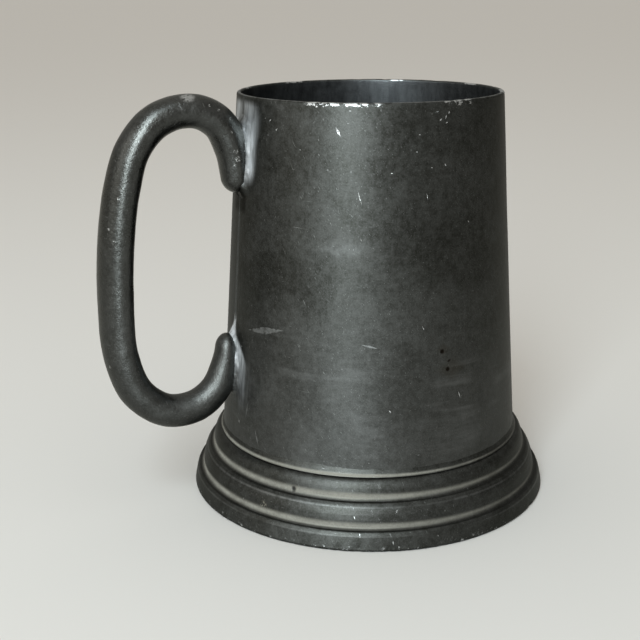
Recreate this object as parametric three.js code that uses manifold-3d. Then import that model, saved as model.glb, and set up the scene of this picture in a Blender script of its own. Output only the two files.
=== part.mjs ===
// A pewter tankard: a tapered drum rolled from sheet and closed by a butt seam, a spun foot in
// three steps, a flat base disc, and a cast C-shaped handle, all joined with solder.
// Millimetres, +Z up. The origin is on the drum's axis at table level, and the handle points
// along -X, in the plane of the drum's seam.
import * as THREE from 'three';
import { mergeVertices } from 'three/addons/utils/BufferGeometryUtils.js';
import Module from 'manifold-3d';

const wasm = await Module();
wasm.setup();

// ---- driving dimensions -------------------------------------------------------------------
const HEIGHT = 120;            // table to rim
const RIM_RADIUS = 38.6;       // outside of the drum at the rim
const DRUM_BASE_RADIUS = 46.5; // outside of the drum where its taper reaches the table
const DRUM_WALL = 1.3;
const RIM_ROUNDING = 0.35;     // softened corners of the rim
const SEAM_WIDTH = 1;          // gap between the rolled sheet's two edges
const FOOT_WALL = 1.4;
const FLANGE_RADIUS = 54.7;    // outside of the foot at the table
const FLANGE_EDGE = [0.4, 0.5]; // how far in and up the flange's lower corner is taken off
const DISC_RECESS = 0.9;       // how far the base disc is let in above the resting edge
const DISC_THICKNESS = 1.6;
const DISC_RADIUS = 51.4;
const DISC_REBATE = 1;         // width of the soldered gap between the disc and the foot
const JOINT_GAP = 0.3;         // clearance between pieces that one of them is cut to fit
const LATHE_GAP = 0.15;        // clearance between turned pieces that nest in each other
const AROUND = 64;             // facets round every turned piece

// the foot's three steps: each bulges out from its top corner, pulled towards bulge, and ends
// just above the next corner down
const STEPS = [
  { top: [46.1, 18.3], bulge: [48.0, 18.0], bottom: [48.5, 13.5] },
  { top: [48.8, 13.0], bulge: [51.5, 12.0], bottom: [51.9, 6.2] },
  { top: [52.2, 5.8], bulge: [53.5, 5.7], bottom: [53.9, 4.2] },
];
const FOOT_JOINT_TOP = 21;     // where the solder ring feathers out on the drum
const FOOT_JOINT_EDGE = 0.12;  // thickness of that feathered edge
const FLOOR_JOINT_LEG = 2.4;   // reach of the solder fillet inside, on the wall and on the floor

// the handle's centre line, as distance from the drum's axis and height, from the upper tip
// over the top bend, down the grip, round the bottom bend and up to the lower tip
const HANDLE_LINE = [
  [41.2, 92.9], [41.4, 98.6], [42.4, 105.2], [45.6, 112.2], [51.4, 115.9], [58.4, 116.0], [64.8, 113.2],
  [70.3, 106.8], [74.0, 96.0], [76.6, 80.0], [77.5, 64.0], [76.9, 48.5], [72.8, 36.9], [64.5, 30.3],
  [55.4, 30.6], [49.2, 35.4], [46.3, 43.0], [45.4, 51.6],
];
// the handle's size along that line: share of its length, half its thickness, half its width
const HANDLE_SIZES = [
  [0, 2.5, 2.8], [0.018, 4.1, 4.8], [0.04, 4.5, 5.6], [0.09, 4.9, 6.0], [0.15, 4.8, 5.3], [0.2, 4.7, 4.8],
  [0.4, 5.15, 5.15], [0.55, 5.1, 5.1], [0.75, 4.85, 4.85], [0.86, 4.8, 4.8], [0.92, 4.4, 4.7],
  [0.965, 3.4, 4.2], [0.982, 3.1, 3.8], [1, 1.9, 2.3],
];
const HANDLE_STEPS = 54;
const HANDLE_SIDES = 16;
const HANDLE_STANDOFF = 1.0;   // solder thickness between the drum and the handle's flats

// the solder behind each handle end, a flattened blob centred on the drum's surface
const SOLDER_STAND = 2.6;      // how far the blob reaches out from its centre
const UPPER_SOLDER = { z: 103, halfLength: 11.5, halfWidth: 8 };
const LOWER_SOLDER = { z: 44, halfLength: 10.5, halfWidth: 6.5 };

// ---- colours ------------------------------------------------------------------------------
const PEWTER = { color: 0x4b4c49, roughness: 0.48, metalness: 1 };
const WORN_PEWTER = { color: 0x50524f, roughness: 0.42, metalness: 1 };
const SOLDER = { color: 0x8d908e, roughness: 0.6, metalness: 1 };

// ---- helpers ------------------------------------------------------------------------------
const drumOuter = (z) => DRUM_BASE_RADIUS + ((RIM_RADIUS - DRUM_BASE_RADIUS) * z) / HEIGHT;
const drumInner = (z) => drumOuter(z) - DRUM_WALL;

function toSolid(geometry) {
  const bare = geometry.clone();
  bare.deleteAttribute('normal');
  bare.deleteAttribute('uv');
  const merged = mergeVertices(bare, 1e-4);
  return new wasm.Manifold(new wasm.Mesh({
    numProp: 3,
    vertProperties: new Float32Array(merged.attributes.position.array),
    triVerts: new Uint32Array(merged.index.array),
  }));
}

function toMesh(name, solid, finish) {
  const { vertProperties, triVerts } = solid.getMesh();
  const geometry = new THREE.BufferGeometry();
  geometry.setAttribute('position', new THREE.BufferAttribute(vertProperties, 3));
  geometry.setIndex(new THREE.BufferAttribute(triVerts, 1));
  geometry.computeVertexNormals();
  const mesh = new THREE.Mesh(geometry, new THREE.MeshStandardMaterial(finish));
  mesh.name = name;
  return mesh;
}

// turns a closed path of (radius, height) about the Z axis
function turned(path, curveDivisions = 6) {
  const outline = path.getPoints(curveDivisions);
  if (THREE.ShapeUtils.isClockWise(outline)) outline.reverse();
  const geometry = new THREE.LatheGeometry(outline, AROUND);
  geometry.rotateX(Math.PI / 2);
  return toSolid(geometry);
}

function polyline(points) {
  const path = new THREE.Path();
  path.moveTo(...points[0]);
  points.slice(1).forEach((point) => path.lineTo(...point));
  path.lineTo(...points[0]);
  return path;
}

function block(width, depth, height, x, y, z) {
  const geometry = new THREE.BoxGeometry(width, depth, height);
  geometry.translate(x, y, z);
  return toSolid(geometry);
}

// ---- drum ---------------------------------------------------------------------------------
const DRUM_BOTTOM = DISC_RECESS + DISC_THICKNESS + LATHE_GAP;

function drumTube() {
  const rim = HEIGHT;
  const soft = RIM_ROUNDING;
  return turned(polyline([
    [drumInner(DRUM_BOTTOM), DRUM_BOTTOM],
    [drumOuter(DRUM_BOTTOM), DRUM_BOTTOM],
    [drumOuter(rim - soft), rim - soft],
    [drumOuter(rim) - soft, rim],
    [drumInner(rim) + soft, rim],
    [drumInner(rim - soft), rim - soft],
  ]));
}

function seamStrip(width) {
  const reach = 2 * DRUM_BASE_RADIUS;
  return block(reach, width, 2 * HEIGHT, -reach / 2, 0, HEIGHT);
}

function drum() {
  return drumTube().subtract(seamStrip(SEAM_WIDTH));
}

function drumSeamSolder() {
  return drumTube().intersect(seamStrip(SEAM_WIDTH - 2 * JOINT_GAP));
}

// ---- foot and base ------------------------------------------------------------------------
function foot() {
  const collar = STEPS[0].top[1];
  const rebate = DISC_RECESS + DISC_THICKNESS + JOINT_GAP;
  const path = new THREE.Path();
  path.moveTo(drumOuter(collar) + LATHE_GAP, collar);
  for (const { top, bulge, bottom } of STEPS) {
    path.lineTo(...top);
    path.quadraticCurveTo(...bulge, ...bottom);
  }
  path.lineTo(FLANGE_RADIUS, FLANGE_EDGE[1]);
  path.lineTo(FLANGE_RADIUS - FLANGE_EDGE[0], 0);
  path.lineTo(DISC_RADIUS + DISC_REBATE, 0);
  path.lineTo(DISC_RADIUS + DISC_REBATE, rebate);
  path.lineTo(STEPS[1].bottom[0] - FOOT_WALL, STEPS[2].top[1]);
  path.lineTo(STEPS[1].top[0] - FOOT_WALL, STEPS[1].bottom[1] + FOOT_WALL);
  path.lineTo(drumOuter(STEPS[0].bottom[1]) + LATHE_GAP, STEPS[0].bottom[1]);
  path.closePath();
  return turned(path);
}

function footSolderJoint() {
  const low = STEPS[0].top[1] + LATHE_GAP;
  const high = FOOT_JOINT_TOP;
  const inner = (z) => drumOuter(z) + LATHE_GAP;
  const path = new THREE.Path();
  path.moveTo(inner(low), low);
  path.lineTo(STEPS[0].top[0], low);
  path.quadraticCurveTo(inner(low) + 0.25, low + 0.6, inner(high) + FOOT_JOINT_EDGE, high);
  path.lineTo(inner(high), high);
  path.closePath();
  return turned(path);
}

function baseDisc() {
  const top = DISC_RECESS + DISC_THICKNESS;
  return turned(polyline([[0, DISC_RECESS], [DISC_RADIUS, DISC_RECESS], [DISC_RADIUS, top], [0, top]]));
}

function baseSolderJoint() {
  const top = DISC_RECESS + DISC_THICKNESS;
  const inner = DISC_RADIUS + LATHE_GAP;
  const outer = DISC_RADIUS + DISC_REBATE - LATHE_GAP;
  return turned(polyline([[inner, DISC_RECESS], [outer, DISC_RECESS], [outer, top], [inner, top]]));
}

function floorSolderJoint() {
  const leg = FLOOR_JOINT_LEG;
  const low = DRUM_BOTTOM;
  const wall = (z) => drumInner(z) - LATHE_GAP;
  const path = new THREE.Path();
  path.moveTo(wall(low) - leg, low);
  path.lineTo(wall(low), low);
  path.lineTo(wall(low + leg), low + leg);
  path.quadraticCurveTo(wall(low) - 0.5, low + 0.5, wall(low) - leg, low);
  return turned(path);
}

// ---- handle -------------------------------------------------------------------------------
// half thickness and half width at a share of the handle's length, straight between the listed shares
function handleSize(share) {
  const next = Math.max(1, HANDLE_SIZES.findIndex(([at]) => at >= share));
  const [fromShare, ...from] = HANDLE_SIZES[next - 1];
  const [toShare, ...to] = HANDLE_SIZES[next];
  const way = (share - fromShare) / (toShare - fromShare);
  return from.map((size, i) => size + (to[i] - size) * way);
}

// a unit tube along the centre line, each of its rings then blown up to the handle's size there
function handleBlank(extra) {
  const points = HANDLE_LINE.map(([out, z]) => new THREE.Vector3(-out, 0, z));
  const line = new THREE.CatmullRomCurve3(points, false, 'centripetal');
  const section = new THREE.Shape().absarc(0, 0, 1, 0, 2 * Math.PI);
  const geometry = new THREE.ExtrudeGeometry(section, {
    steps: HANDLE_STEPS,
    curveSegments: HANDLE_SIDES / 2,
    bevelEnabled: false,
    extrudePath: line,
  });
  const rings = line.getSpacedPoints(HANDLE_STEPS);
  const position = geometry.attributes.position;
  const vertex = new THREE.Vector3();
  for (let i = 0; i < position.count; i += 1) {
    vertex.fromBufferAttribute(position, i);
    const distances = rings.map((centre) => centre.distanceToSquared(vertex));
    const ring = distances.indexOf(Math.min(...distances));
    const [thickness, width] = handleSize(ring / HANDLE_STEPS).map((size) => size + extra);
    vertex.sub(rings[ring]).multiply(new THREE.Vector3(thickness, width, thickness)).add(rings[ring]);
    position.setXYZ(i, vertex.x, vertex.y, vertex.z);
  }
  return toSolid(geometry);
}

// the drum's outside, swollen by a clearance, as a solid to cut with
function drumEnvelope(clearance) {
  return turned(polyline([
    [0, -HEIGHT],
    [drumOuter(-HEIGHT) + clearance, -HEIGHT],
    [drumOuter(2 * HEIGHT) + clearance, 2 * HEIGHT],
    [0, 2 * HEIGHT],
  ]));
}

function handle() {
  return handleBlank(0).subtract(drumEnvelope(HANDLE_STANDOFF));
}

// a flattened blob of solder on the drum behind a handle end, hollowed to fit both
function handleSolder({ z, halfLength, halfWidth }) {
  const blob = new THREE.SphereGeometry(1, 20, 12);
  blob.scale(SOLDER_STAND, halfWidth, halfLength);
  blob.translate(-drumOuter(z) - JOINT_GAP, 0, z);
  const handleSpace = handleBlank(JOINT_GAP).subtract(drumEnvelope(HANDLE_STANDOFF - JOINT_GAP));
  return toSolid(blob).subtract(drumEnvelope(JOINT_GAP)).subtract(handleSpace);
}

// ---- assembly -----------------------------------------------------------------------------
const tankard = new THREE.Group();
tankard.add(
  toMesh('drum', drum(), PEWTER),
  toMesh('drum_seam_solder', drumSeamSolder(), SOLDER),
  toMesh('foot', foot(), PEWTER),
  toMesh('foot_solder_joint', footSolderJoint(), SOLDER),
  toMesh('base_disc', baseDisc(), PEWTER),
  toMesh('base_solder_joint', baseSolderJoint(), SOLDER),
  toMesh('floor_solder_joint', floorSolderJoint(), SOLDER),
  toMesh('handle', handle(), WORN_PEWTER),
  toMesh('upper_handle_solder', handleSolder(UPPER_SOLDER), SOLDER),
  toMesh('lower_handle_solder', handleSolder(LOWER_SOLDER), SOLDER),
);

export default tankard;
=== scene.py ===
# A pewter tankard: the fine surfaces, finishes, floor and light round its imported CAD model.
import math
import bpy
import numpy as np
from mathutils import Matrix


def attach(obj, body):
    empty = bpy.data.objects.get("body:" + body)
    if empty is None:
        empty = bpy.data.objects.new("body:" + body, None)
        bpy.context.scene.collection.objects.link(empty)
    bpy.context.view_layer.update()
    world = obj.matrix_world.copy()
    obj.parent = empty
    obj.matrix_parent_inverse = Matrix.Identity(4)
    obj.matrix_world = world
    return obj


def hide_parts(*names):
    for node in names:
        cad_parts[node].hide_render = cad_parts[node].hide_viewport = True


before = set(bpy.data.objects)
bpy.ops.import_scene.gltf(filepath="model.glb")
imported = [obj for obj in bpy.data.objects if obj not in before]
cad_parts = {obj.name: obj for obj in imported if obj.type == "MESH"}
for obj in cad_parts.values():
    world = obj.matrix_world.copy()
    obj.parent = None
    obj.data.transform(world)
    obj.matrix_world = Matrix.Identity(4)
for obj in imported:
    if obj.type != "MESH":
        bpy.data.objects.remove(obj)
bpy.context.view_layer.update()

MM = 0.001

# ---- driving dimensions, in mm and degrees --------------------------------------------------
# Angles round the axis are measured from the seam and the handle (-X) towards -Y.
FACETS = 384                   # round every turned piece
HANDLE_SIDES = 72
HANDLE_STATIONS = 420
HANDLE_STANDOFF = 0.6          # between the drum and the handle's flats, filled with solder
END_ROUND = 4.0                # length over which each end of the handle rounds off
SEAM_WIDTH = 0.5
SLOT_TRIM = 0.05               # width of the narrow facets beside the seam that keep its edges crisp
FOOT_GROOVES = ((48.65, 13.25), (52.05, 6.0))  # radius and height of the corners between its steps
RING_GROOVE = (46.1, 18.4)     # the corner where the drum's solder ring meets the foot

# the handle's centre line, as distance from the drum's axis and height, from the upper tip
# over the top bend, down the grip, round the bottom bend and up to the lower tip
HANDLE_LINE = [
    (41.2, 92.9), (41.4, 98.6), (42.4, 105.2), (45.6, 112.2), (51.4, 115.9), (58.4, 116.0), (64.8, 113.2),
    (70.3, 106.8), (74.0, 96.0), (76.6, 80.0), (77.5, 64.0), (76.9, 48.5), (72.8, 36.9), (64.5, 30.3),
    (55.4, 30.6), (49.2, 35.4), (46.3, 43.0), (45.4, 51.6),
]
# the handle's size along that line: share of its length, half its thickness, half its width
HANDLE_SIZES = [
    (0, 4.1, 4.6), (0.04, 4.5, 5.6), (0.09, 4.9, 6.0), (0.15, 4.8, 5.3), (0.2, 4.7, 4.8),
    (0.4, 5.1, 5.1), (0.55, 5.1, 5.1), (0.75, 4.85, 4.85), (0.86, 4.8, 4.8), (0.92, 4.4, 4.7),
    (0.965, 3.4, 4.2), (1, 3.0, 3.7),
]


# ---- measures taken from the frame ----------------------------------------------------------
def half_outline(node):
    """The closed (radius, height) outline of a turned CAD node, in mm, walked round its section at +X."""
    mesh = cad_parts[node].data
    points = [tuple(round(c / MM, 3) for c in v.co) for v in mesh.vertices]
    neighbours = {}
    for edge in mesh.edges:
        a, b = (points[i] for i in edge.vertices)
        if a != b and all(abs(p[1]) < 0.002 and p[0] >= 0 for p in (a, b)):
            neighbours.setdefault((a[0], a[2]), set()).add((b[0], b[2]))
            neighbours.setdefault((b[0], b[2]), set()).add((a[0], a[2]))
    outline = [max(neighbours)]
    while True:
        onward = [p for p in sorted(neighbours[outline[-1]]) if p not in outline]
        if not onward:
            return outline
        outline.append(onward[0])


drum_outline = half_outline("drum")
RIM_HEIGHT = max(z for r, z in drum_outline)
DRUM_LOW = min(z for r, z in drum_outline)
drum_low_radius = max(r for r, z in drum_outline if z < DRUM_LOW + 1)
drum_high = max(z for r, z in drum_outline if z < RIM_HEIGHT - 0.1)
drum_high_radius = max(r for r, z in drum_outline if z > drum_high - 0.1)
DRUM_TAPER = (drum_low_radius - drum_high_radius) / (drum_high - DRUM_LOW)
DRUM_WALL = drum_low_radius - min(r for r, z in drum_outline if z < DRUM_LOW + 1)


def drum_radius(z):
    """Outside radius of the drum at a height, in mm."""
    return drum_low_radius - DRUM_TAPER * (z - DRUM_LOW)


# ---- mesh helpers ---------------------------------------------------------------------------
def piece(name, points, faces, material, slot, *nodes):
    """A smooth-shaded object from points in mm that stands for CAD nodes."""
    mesh = bpy.data.meshes.new(name)
    mesh.from_pydata((np.asarray(points) * MM).tolist(), [], faces)
    mesh.polygons.foreach_set("use_smooth", [True] * len(mesh.polygons))
    mesh.materials.append(material)
    mesh.validate()
    thing = bpy.data.objects.new(name, mesh)
    bpy.context.scene.collection.objects.link(thing)
    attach(thing, "root")
    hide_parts(*nodes)


def softened(outline, radius, longest):
    """A closed outline with its corners rounded and its long stretches split."""
    points = [np.array(p, float) for p in outline]
    soft = []
    for before, corner, after in zip(points[-1:] + points[:-1], points, points[1:] + points[:1]):
        back, ahead = before - corner, after - corner
        start = corner + back * min(0.5, radius / np.linalg.norm(back))
        stop = corner + ahead * min(0.5, radius / np.linalg.norm(ahead))
        for t in (0, 0.25, 0.5, 0.75, 1):
            soft.append((1 - t) ** 2 * start + 2 * t * (1 - t) * corner + t * t * stop)
    dense = []
    for here, onward in zip(soft, soft[1:] + soft[:1]):
        length = np.linalg.norm(onward - here)
        if length < 1e-4:
            continue
        parts = math.ceil(length / longest)
        dense.extend(here + (onward - here) * k / parts for k in range(parts))
    return np.array(dense)


def grid_faces(rows, columns, row_loop, column_loop):
    """Quads between neighbouring rows and columns of a grid of points; a loop joins last to first."""
    faces = []
    for i in range(rows if row_loop else rows - 1):
        for j in range(columns if column_loop else columns - 1):
            k, m = (i + 1) % rows, (j + 1) % columns
            faces.append((i * columns + j, i * columns + m, k * columns + m, k * columns + j))
    return faces


def end_caps(rows, columns):
    """The two faces that close a tube at its first and its last row of points."""
    return [list(range(columns)), [rows * columns - 1 - k for k in range(columns)]]


def turned(outline, shape, slot_angle=0):
    """Points and faces of a closed outline turned round the axis, all the way or up to a slot at -X."""
    angle = np.linspace(0, 2 * np.pi, FACETS, endpoint=False)
    if slot_angle:
        start, trim = math.radians(slot_angle), SLOT_TRIM / drum_high_radius
        angle = np.linspace(start + trim, 2 * np.pi - start - trim, FACETS)
        angle = np.concatenate(([start], angle, [2 * np.pi - start]))
    columns = len(angle)
    radius, angles = np.meshgrid(outline[:, 0], angle, indexing="ij")
    height = np.meshgrid(outline[:, 1], angle, indexing="ij")[0]
    radius, height = shape(radius, height, angles)
    points = np.stack((-radius * np.cos(angles), -radius * np.sin(angles), height), -1)
    rows = len(outline)
    faces = grid_faces(rows, columns, True, not slot_angle)
    if slot_angle:
        faces.append([i * columns for i in range(rows)])
        faces.append([i * columns + columns - 1 for i in reversed(range(rows))])
    return points.reshape(-1, 3), faces


def bell(distance, reach):
    """1 at no distance, falling smoothly to nearly 0 at twice the reach."""
    return np.exp(-((distance / reach) ** 2))


def step(value, low, high):
    """A smooth step from 0 at low to 1 at high."""
    share = np.clip((value - low) / (high - low), 0, 1)
    return share * share * (3 - 2 * share)


def arc_from(angles, degrees, radius):
    """Signed distance round the surface from a place given in degrees, in mm."""
    turn = (angles - math.radians(degrees) + np.pi) % (2 * np.pi) - np.pi
    return turn * radius


def lumps(x, y, z, size, seed):
    """A smooth random field of about unit height, with lumps of about that size in mm."""
    draw = np.random.default_rng(seed)
    waves = 24
    field = np.zeros(np.broadcast(x, y, z).shape)
    for _ in range(waves):
        way = draw.normal(size=3)
        way *= np.pi * draw.uniform(0.7, 1.4) / (size * np.linalg.norm(way))
        field += np.sin(way[0] * x + way[1] * y + way[2] * z + draw.uniform(0, 2 * np.pi))
    return field / math.sqrt(waves / 2)


# ---- drum, seam and base --------------------------------------------------------------------
# shallow dents: degrees, height, width, depth
DENTS = [
    (51, 80, 9, 0.10), (78, 66, 12, 0.09), (96, 96, 8, 0.08), (118, 52, 10, 0.12), (30, 40, 9, 0.08),
    (160, 88, 10, 0.14), (205, 60, 12, 0.12), (236, 100, 8, 0.10), (268, 46, 10, 0.12), (310, 76, 11, 0.12),
]
# knocks in the lip: degrees, width, depth
LIP_KNOCKS = [
    (40, 1.2, 0.10), (47, 0.8, 0.07), (55, 1.5, 0.08), (66, 0.9, 0.10), (99, 1.6, 0.12), (106, 0.9, 0.08),
    (142, 1.4, 0.14), (171, 0.8, 0.1), (212, 1.8, 0.12), (238, 0.9, 0.16), (251, 1.1, 0.1), (283, 1.3, 0.12),
    (331, 1.0, 0.1),
]
LIP_REACH = 1.2                # how far down from the rim a knock is felt
DRUM_INSET = 0.1               # how far in the rim is drawn, so that the waves stay within the CAD drum
SEAM_CLEARANCE = 0.03          # between the seam's strip and each edge of the sheet
SEAM_EDGE = 0.03               # width of the strip's own narrow edge facets
SEAM_CROWN = 0.012             # how far the strip's middle stands out
SEAM_TOP_GAP = 0.15            # between the strip's upper end and the rim
SEAM_ROWS = 90
DISH_RADIUS = 51.4
DISH_HEIGHT = 0.25
TURNING_MARKS = 0.012          # height of the rings that turning leaves on the disc
TURNING_PITCH = 3.1            # radians of such a ring for each mm of radius
# waves along a run of solder: how many round the axis, where they start in radians, height
SOLDER_WAVES = [(17, 0, 0.04), (31, 2, 0.03), (53, 1, 0.02)]


def beaten(radius, height, angles):
    """The slight waviness, dents and lip knocks of a drum that was rolled by hand and used."""
    share = height / RIM_HEIGHT
    wave = 0.05 * np.cos(2 * angles + 1.1) * share + 0.04 * np.cos(3 * angles + 4.0 * share)
    wave += 0.03 * np.cos(5 * angles - 6 * share + 0.6) + 0.015 * np.cos(9 * angles + 11 * share)
    for degrees, z, width, depth in DENTS:
        wave -= depth * bell(np.hypot(arc_from(angles, degrees, radius), height - z), width)
    lip = bell(RIM_HEIGHT - height, LIP_REACH)
    drop = np.zeros_like(height)
    for degrees, width, depth in LIP_KNOCKS:
        drop += depth * lip * bell(arc_from(angles, degrees, radius), width)
    return radius + wave - DRUM_INSET * share, height - drop


def make_drum(material):
    outline = softened(drum_outline, radius=0.35, longest=1.4)
    slot_angle = math.degrees(SEAM_WIDTH / 2 / drum_high_radius)
    piece("drum_sheet", *turned(outline, beaten, slot_angle), material, "patinated_pewter", "drum")


def make_seam(material):
    """A strip through the wall, slightly crowned on its outer face, that closes the rolled sheet."""
    half = SEAM_WIDTH / 2 - SEAM_CLEARANCE
    across = [-half, SEAM_EDGE - half, 0, half - SEAM_EDGE, half]
    columns = 2 * len(across)
    points = []
    for z in np.linspace(DRUM_LOW, RIM_HEIGHT - SEAM_TOP_GAP, SEAM_ROWS):
        walls = np.array([drum_radius(z), drum_radius(z) - DRUM_WALL])
        outer, inner = beaten(walls, np.full(2, z), np.zeros(2))[0]
        points.extend((-outer - SEAM_CROWN * (y == 0), y, z) for y in across)
        points.extend((-inner, y, z) for y in reversed(across))
    faces = grid_faces(SEAM_ROWS, columns, False, True) + end_caps(SEAM_ROWS, columns)
    piece("seam_solder_strip", points, faces, material, "solder", "drum_seam_solder")


def dished(radius, height, angles):
    """The base disc's slight dish and the rings left by its turning."""
    out = radius / DISH_RADIUS
    dish = DISH_HEIGHT * (1 - out ** 2) * (out < 1)
    return radius, height + dish + TURNING_MARKS * np.sin(radius * TURNING_PITCH)


def uneven(radius, height, angles):
    """The unevenness of a run of solder."""
    run = sum(tall * np.sin(count * angles + start) for count, start, tall in SOLDER_WAVES)
    return radius + run * 0.4, height + run * 0.5 * (height > height.min() + 0.3)


def make_base(pewter, solder):
    disc = softened(half_outline("base_disc"), radius=0.25, longest=1.2)
    piece("base_plate", *turned(disc, dished), pewter, "patinated_pewter", "base_disc")
    ring = softened(half_outline("base_solder_joint"), radius=0.12, longest=0.5)
    piece("base_solder_ring", *turned(ring, uneven), solder, "solder", "base_solder_joint")
    fillet = softened(half_outline("floor_solder_joint"), radius=0.15, longest=0.5)
    piece("floor_solder_fillet", *turned(fillet, uneven), solder, "solder", "floor_solder_joint")


# ---- foot -----------------------------------------------------------------------------------
# nicks in the flange's edge: degrees, width, depth
FLANGE_NICKS = [
    (63, 0.9, 0.25), (69, 0.6, 0.2), (72, 0.7, 0.3), (57, 0.5, 0.15), (88, 1.0, 0.18), (20, 0.9, 0.2),
    (128, 1.2, 0.25), (166, 0.9, 0.2), (204, 1.4, 0.3), (249, 0.9, 0.25), (290, 1.1, 0.3), (334, 0.8, 0.2),
]
CREASE_DEPTH = 0.22            # of the line cut where each step starts
CREASE_OUT = 0.7               # how far outside the corner that line lies
CREASE_UNDER = 0.4             # and how far below it
CREASE_REACH = 0.3
FLANGE_EDGE = 53.5             # radius beyond which a nick shows
NICK_HEIGHT = 0.9              # of the nicks' middle
NICK_REACH = 1.1               # how far up and down from there a nick is felt
FOOT_INSET = 0.09              # how far in the foot is drawn, so that its waves stay within the CAD foot
RING_SINK = 0.38               # how far the solder ring's top sinks into the drum


def knocked(radius, height, angles):
    """The foot's slight unroundness, the crease at the top of each step and nicks in its flange."""
    wave = 0.05 * np.cos(2 * angles + 0.4) + 0.03 * np.cos(5 * angles + height * 0.3)
    wave += 0.012 * np.cos(11 * angles + height)
    edge = bell(height - NICK_HEIGHT, NICK_REACH) * (radius > FLANGE_EDGE)
    for degrees, width, depth in FLANGE_NICKS:
        wave -= depth * edge * bell(arc_from(angles, degrees, radius), width)
    sunk = np.zeros_like(height)
    for corner_radius, corner_height in FOOT_GROOVES:
        away = np.hypot(radius - corner_radius - CREASE_OUT, height - corner_height + CREASE_UNDER)
        sunk += CREASE_DEPTH * bell(away, CREASE_REACH)
    return radius + wave - FOOT_INSET, height - sunk


def feathered(radius, height, angles):
    """The solder ring's top, thinned until it sinks into the drum."""
    radius, height = uneven(radius, height, angles)
    return radius - RING_SINK * step(height, height.min() + 0.3, height.max()), height


def make_foot(pewter, ring_finish):
    outline = softened(half_outline("foot"), radius=0.3, longest=0.3)
    piece("spun_foot", *turned(outline, knocked), pewter, "patinated_pewter", "foot")
    ring = softened(half_outline("foot_solder_joint"), radius=0.12, longest=0.35)
    piece("foot_solder_ring", *turned(ring, feathered), ring_finish, "solder", "foot_solder_joint")


# ---- handle ---------------------------------------------------------------------------------
LINE_STEPS = 40                # between two points of the handle's centre line
SIZE_BLUR = 17                 # stations over which its listed sizes are smoothed
CASTING_LUMPS = 0.028          # height of the casting's broad lumps
CASTING_GRAIN = 0.010          # and of its fine ones
CASTING_INSET = 0.03           # how far in the surface is drawn, to make room for them
CASTING_FADE = 3               # half thickness below which both fade out

SOLDER_ROWS = 120
SOLDER_COLUMNS = 96
FILLET_HEIGHT = 1.5            # of the solder where it meets the handle
FILLET_REACH = 3.6             # distance from the handle at which it runs out
FILLET_CURVE = 2.4             # how fast it falls on the way
SOLDER_SKIN = 0.05             # thickness of the solder beyond the fillet
EDGE_SINK = 0.12               # how far the solder's edge dips into the drum
ROOT_DEPTH = 0.5               # how deep its back lies in the drum's wall


def handle_stations():
    """Points along the handle's centre line, closer at its ends, with half thickness and half width."""
    line = np.array([(-out, z) for out, z in HANDLE_LINE])
    line = np.vstack((2 * line[0] - line[1], line, 2 * line[-1] - line[-2]))
    dense = []
    for p0, p1, p2, p3 in zip(line, line[1:], line[2:], line[3:]):
        d0, d1, d2 = (math.sqrt(np.linalg.norm(b - a)) for a, b in ((p0, p1), (p1, p2), (p2, p3)))
        leave = ((p1 - p0) / d0 - (p2 - p0) / (d0 + d1) + (p2 - p1) / d1) * d1
        arrive = ((p2 - p1) / d1 - (p3 - p1) / (d1 + d2) + (p3 - p2) / d2) * d1
        for t in np.linspace(0, 1, LINE_STEPS, endpoint=False):
            dense.append(p1 + leave * t + (3 * (p2 - p1) - 2 * leave - arrive) * t ** 2
                         + (2 * (p1 - p2) + leave + arrive) * t ** 3)
    dense = np.array(dense + [line[-2]])
    travelled = np.concatenate(([0], np.cumsum(np.linalg.norm(np.diff(dense, axis=0), axis=1))))
    shares = np.linspace(0, 1, HANDLE_STATIONS)
    shares = 0.5 * shares + 0.25 * (1 - np.cos(np.pi * shares))
    stations = np.stack([np.interp(shares * travelled[-1], travelled, dense[:, k]) for k in (0, 1)], -1)

    listed = np.array(HANDLE_SIZES).T
    sizes = []
    for size in listed[1:]:
        rough = np.pad(np.interp(shares, listed[0], size), SIZE_BLUR // 2, mode="edge")
        sizes.append(np.convolve(rough, np.full(SIZE_BLUR, 1 / SIZE_BLUR), mode="valid"))
    from_end = np.minimum(shares, 1 - shares) * travelled[-1] / END_ROUND
    rounding = np.sqrt(1 - (1 - np.minimum(from_end, 1)) ** 2)
    return stations, sizes[0] * rounding, sizes[1] * rounding


def make_handle(material):
    """A tube swept along the centre line, lumpy from its mould and flattened where it meets the drum."""
    stations, thickness, width = handle_stations()
    ahead = np.gradient(stations, axis=0)
    ahead /= np.linalg.norm(ahead, axis=1)[:, None]
    side = np.stack((-ahead[:, 1], ahead[:, 0]), -1)
    around = np.linspace(0, 2 * np.pi, HANDLE_SIDES, endpoint=False)

    def swept(growth):
        outward = (thickness[:, None] + growth) * np.cos(around)
        x = stations[:, :1] + side[:, :1] * outward
        z = stations[:, 1:] + side[:, 1:] * outward
        return x, (width[:, None] + growth) * np.sin(around), z

    plain = swept(0)
    casting = CASTING_LUMPS * lumps(*plain, 7, 1) + CASTING_GRAIN * lumps(*plain, 2.2, 2) - CASTING_INSET
    x, y, z = swept(casting * np.minimum(1, thickness / CASTING_FADE)[:, None])
    clear = drum_radius(z) + HANDLE_STANDOFF
    push = np.maximum(1, clear / np.hypot(x, y))
    points = np.stack((x * push, y * push, z), -1).reshape(-1, 3)
    faces = grid_faces(HANDLE_STATIONS, HANDLE_SIDES, False, True)
    faces += end_caps(HANDLE_STATIONS, HANDLE_SIDES)
    piece("cast_handle", points, faces, material, "handle_pewter", "handle")


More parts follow.
